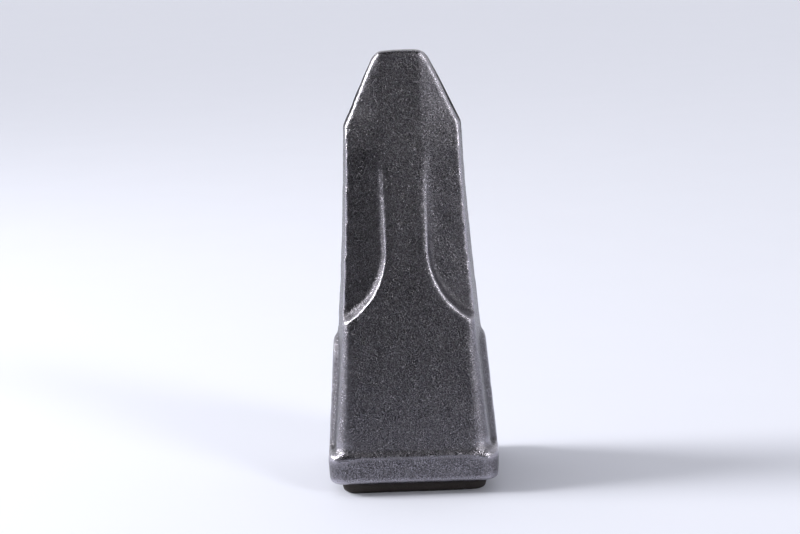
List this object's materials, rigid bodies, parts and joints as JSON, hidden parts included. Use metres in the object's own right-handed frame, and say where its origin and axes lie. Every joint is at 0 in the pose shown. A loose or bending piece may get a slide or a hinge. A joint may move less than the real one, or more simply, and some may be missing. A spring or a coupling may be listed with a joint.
{
  "type": "excavator bucket tooth",
  "caption": "Forged bucket tooth point with a central spine, scalloped pockets, pinned ears and a collared socket, with its sprung lock pin.",
  "frame": {"origin": "centre of the socket mouth, on the plane of the lip that the tooth stands on", "axes": "+Z from the mouth to the cutting edge, +X along the lock pin, +Y through the thickness"},
  "size_m": [0.104, 0.094, 0.265],
  "materials": {
    "forged_steel": "dark grey shot-blasted forging with a thin satin coat, grainy, brighter on worn edges",
    "pin_steel": "turned and heat-treated steel, darkened, with fine lathe lines",
    "catch_steel": "ground steel dome",
    "cushion_rubber": "black moulded rubber, matt"
  },
  "bodies": {
    "point": {"tooth_point": "forged_steel"},
    "pin": {"lock_pin": "pin_steel", "cushion_left": "cushion_rubber", "cushion_right": "cushion_rubber"},
    "left_catch": {"catch_left": "catch_steel"},
    "right_catch": {"catch_right": "catch_steel"}
  },
  "joints": [
    {"name": "pin_drive", "type": "slide", "parent": "point", "child": "pin", "axis": [1, 0, 0], "range_m": [-0.105, 0.105]},
    {"name": "left_catch_press", "type": "slide", "parent": "pin", "child": "left_catch", "axis": [0, 0, 1], "range_m": [0, 0.0009], "stiffness_N_per_m": 20000, "springref_m": -0.0003, "deforming": ["cushion_left"]},
    {"name": "right_catch_press", "type": "slide", "parent": "pin", "child": "right_catch", "axis": [0, 0, 1], "range_m": [0, 0.0009], "stiffness_N_per_m": 20000, "springref_m": -0.0003, "deforming": ["cushion_right"]}
  ]
}
